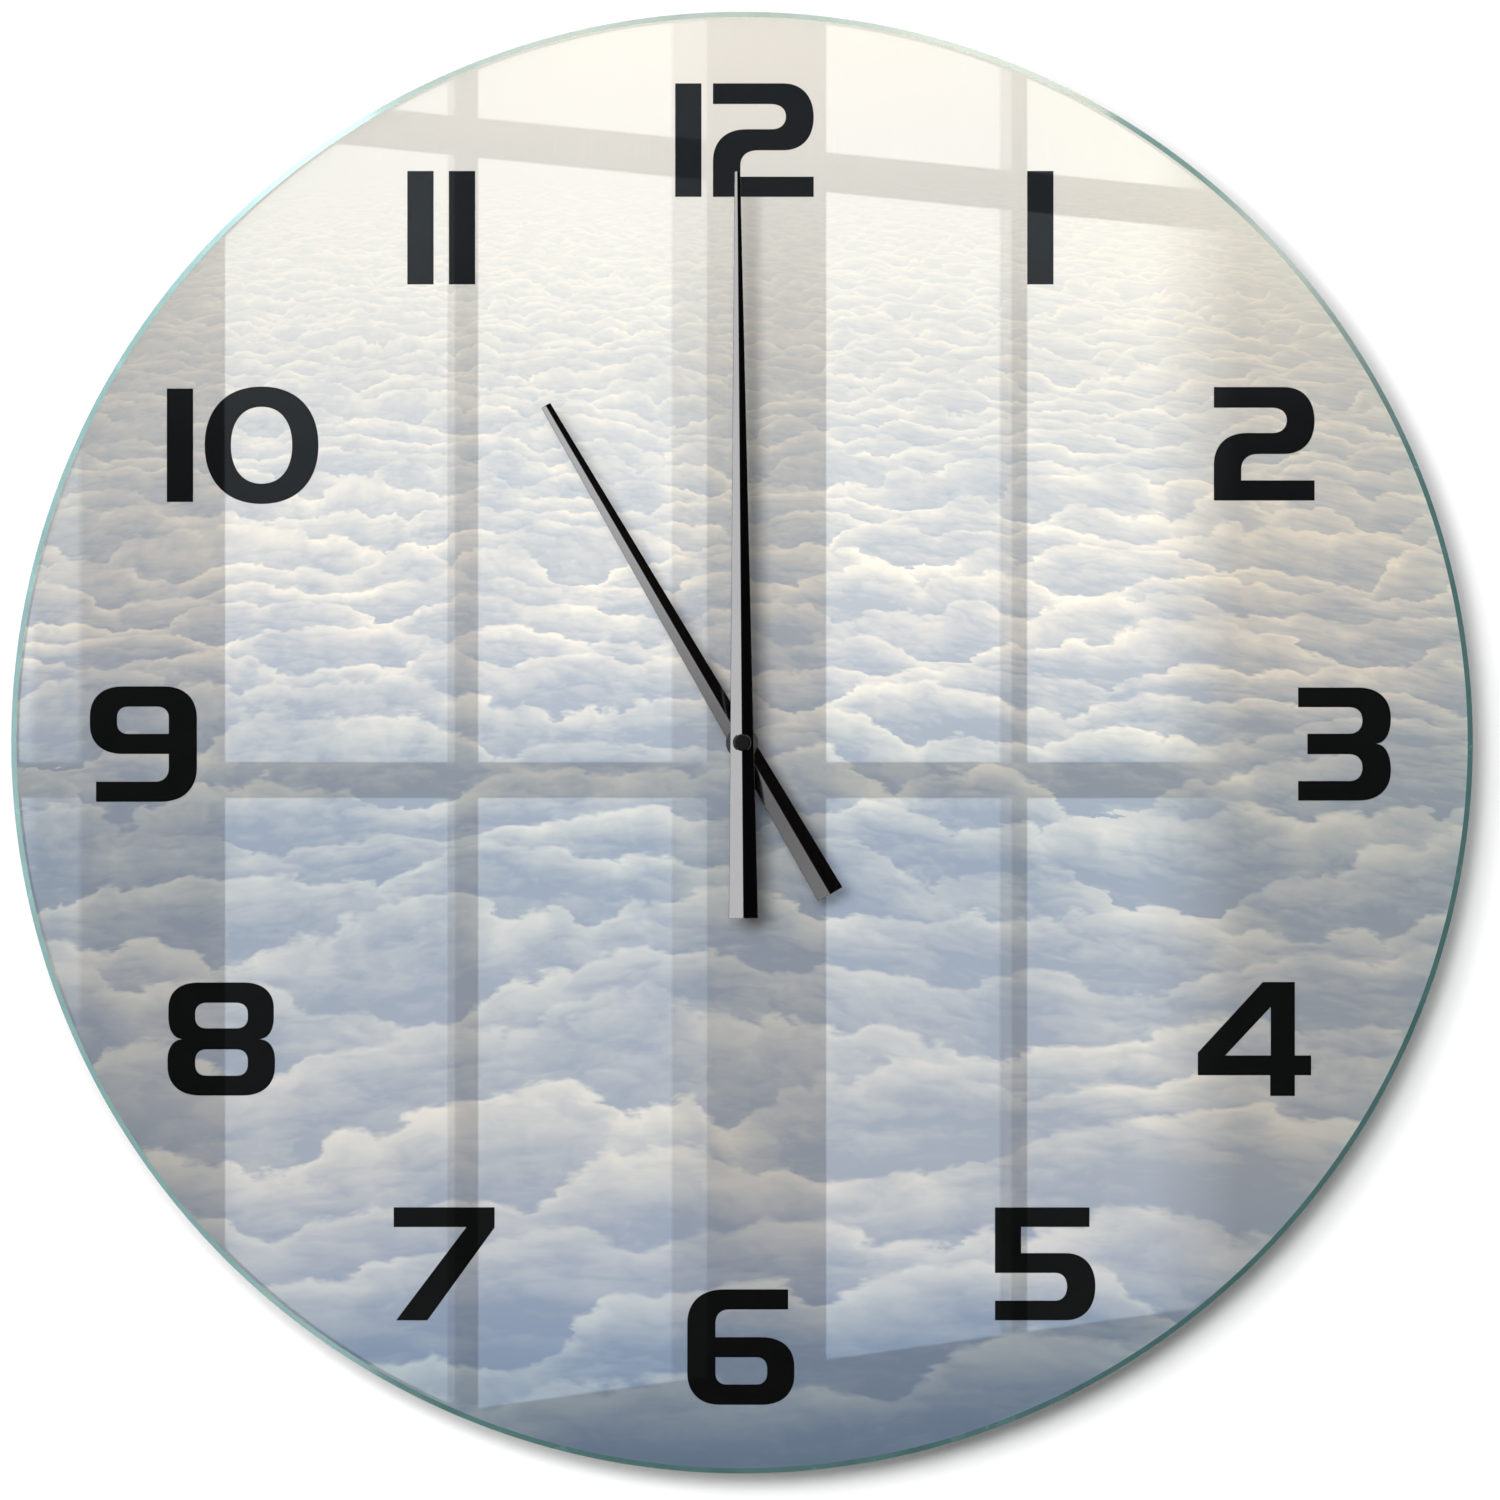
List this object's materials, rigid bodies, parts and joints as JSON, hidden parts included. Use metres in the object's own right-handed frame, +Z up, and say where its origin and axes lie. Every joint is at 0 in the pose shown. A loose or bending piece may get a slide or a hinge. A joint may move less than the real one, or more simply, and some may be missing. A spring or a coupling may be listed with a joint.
{
  "type": "glass wall clock",
  "caption": "Round glass wall clock with a printed dial, two tapered folded hands and a battery quartz movement behind, hung on one nail.",
  "frame": {"origin": "where the nail carries the hanger: the top of the hanger's eye, on the wall plane; the dial's axis is 39.1 mm below it", "axes": "+Z up the wall, +X to the viewer's right, -Y out of the wall along the hands' axis; the wall is the plane y = 0"},
  "size_m": [0.3, 0.0278, 0.3],
  "materials": {
    "clear_glass": "clear float glass, polished edge",
    "printed_film": "printed vinyl film",
    "foam": "closed-cell adhesive foam",
    "rubber": "matt moulded rubber",
    "black_aluminium": "satin black lacquer",
    "black_gloss_plastic": "gloss",
    "white_acetal": "moulded acetal",
    "cream_acetal": "moulded acetal",
    "magnet": "sintered magnet",
    "brass": "turned brass",
    "grey_plastic": "moulded plastic",
    "black_plastic": "fine moulded texture",
    "dark_plastic": "moulded plastic",
    "zinc_steel": "bright zinc plate",
    "soft_iron": "stamped iron",
    "copper_wire": "enamelled copper wire",
    "board_laminate": "solder resist",
    "cell_jacket": "printed metal jacket"
  },
  "bodies": {
    "clock_body": {"glass_dial": "clear_glass", "printed_film": "printed_film", "foam_pad": "foam", "wall_spacer_left": "rubber", "wall_spacer_right": "rubber", "movement_case": "black_plastic", "back_cover": "black_plastic", "middle_plate": "dark_plastic", "hanger_plate": "zinc_steel", "cover_screw_1": "zinc_steel", "cover_screw_2": "zinc_steel", "cover_screw_3": "zinc_steel", "cover_screw_4": "zinc_steel", "hanger_screw_1": "zinc_steel", "hanger_screw_2": "zinc_steel", "stator": "soft_iron", "coil_core": "soft_iron", "coil_bobbin": "white_acetal", "coil_winding": "copper_wire", "circuit_board": "board_laminate", "quartz_crystal": "zinc_steel", "chip_cover": "black_gloss_plastic", "contact_negative": "zinc_steel", "contact_positive": "zinc_steel"},
    "minute_works": {"cannon_pinion": "brass", "minute_hand": "black_aluminium", "centre_cap": "black_gloss_plastic"},
    "hour_works": {"hour_wheel": "cream_acetal", "hour_hand": "black_aluminium"},
    "setting_works": {"motion_wheel": "cream_acetal", "setting_knob": "grey_plastic"},
    "seconds_works": {"seconds_wheel": "white_acetal"},
    "third_works": {"third_wheel": "white_acetal"},
    "centre_works": {"centre_wheel": "cream_acetal"},
    "fifth_works": {"fifth_wheel": "white_acetal"},
    "rotor_works": {"rotor_pinion": "white_acetal", "rotor_magnet": "magnet"},
    "cell_body": {"battery": "cell_jacket"}
  },
  "joints": [
    {"name": "minute_hand_turn", "type": "hinge", "parent": "clock_body", "child": "minute_works", "pos_m": [0, -0.015, -0.0391], "axis": [0, 1, 0], "continuous": true},
    {"name": "hour_hand_turn", "type": "hinge", "parent": "clock_body", "child": "hour_works", "pos_m": [0, -0.015, -0.0391], "axis": [0, 1, 0], "continuous": true},
    {"name": "setting_knob_turn", "type": "hinge", "parent": "clock_body", "child": "setting_works", "pos_m": [-0.00174, -0.01, -0.02925], "axis": [0, 1, 0], "continuous": true},
    {"name": "seconds_wheel_turn", "type": "hinge", "parent": "clock_body", "child": "seconds_works", "pos_m": [0, -0.006, -0.0391], "axis": [0, 1, 0], "continuous": true},
    {"name": "third_wheel_turn", "type": "hinge", "parent": "clock_body", "child": "third_works", "pos_m": [0.00696, -0.006, -0.03422], "axis": [0, 1, 0], "continuous": true},
    {"name": "centre_wheel_turn", "type": "hinge", "parent": "clock_body", "child": "centre_works", "pos_m": [0, -0.008, -0.0391], "axis": [0, 1, 0], "continuous": true},
    {"name": "fifth_wheel_turn", "type": "hinge", "parent": "clock_body", "child": "fifth_works", "pos_m": [-0.00822, -0.006, -0.03611], "axis": [0, 1, 0], "continuous": true},
    {"name": "rotor_turn", "type": "hinge", "parent": "clock_body", "child": "rotor_works", "pos_m": [-0.01152, -0.006, -0.03039], "axis": [0, 1, 0], "continuous": true},
    {"name": "battery_out", "type": "slide", "parent": "clock_body", "child": "cell_body", "axis": [0, 1, 0], "range_m": [0, 0.02]}
  ],
  "couplings": [
    {"joint": "hour_hand_turn", "follows": "minute_hand_turn", "ratio": 0.083333},
    {"joint": "setting_knob_turn", "follows": "minute_hand_turn", "ratio": -0.33333},
    {"joint": "third_wheel_turn", "follows": "seconds_wheel_turn", "ratio": -0.13333},
    {"joint": "centre_wheel_turn", "follows": "seconds_wheel_turn", "ratio": 0.016667},
    {"joint": "fifth_wheel_turn", "follows": "seconds_wheel_turn", "ratio": -6},
    {"joint": "rotor_turn", "follows": "seconds_wheel_turn", "ratio": 30}
  ]
}
